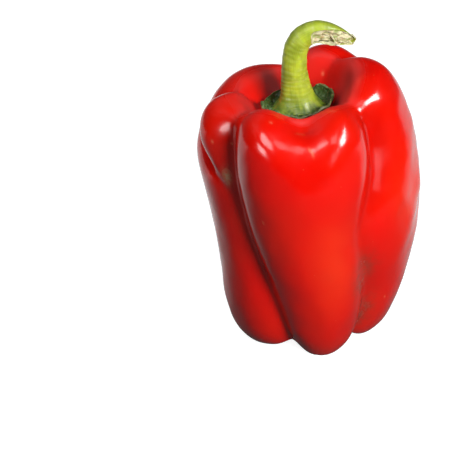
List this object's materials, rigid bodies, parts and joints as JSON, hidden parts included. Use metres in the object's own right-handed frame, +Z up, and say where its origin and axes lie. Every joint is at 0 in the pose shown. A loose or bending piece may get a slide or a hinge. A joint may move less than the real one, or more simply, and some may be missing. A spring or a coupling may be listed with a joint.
{
  "type": "bell pepper",
  "caption": "Blocky lobed bell pepper standing on its lobes, with a toothed green calyx and a hooked, slant-cut stem.",
  "frame": {"origin": "on the surface that the pepper stands on, under the centre of its bounding box", "axes": "+Z up from the feet to the stem, +X the way the stem's cut end points, -Y the side of the front lobe"},
  "size_m": [0.0838, 0.0808, 0.1267],
  "materials": {
    "skin": "smooth waxy red skin with a high gloss",
    "calyx": "rough dark green, leathery, with a paler rim",
    "stem": "satin yellow-green with faint ribs and a pale torn cut end"
  },
  "bodies": {
    "root": {"fruit": "skin", "calyx": "calyx", "stem": "stem"}
  },
  "joints": []
}
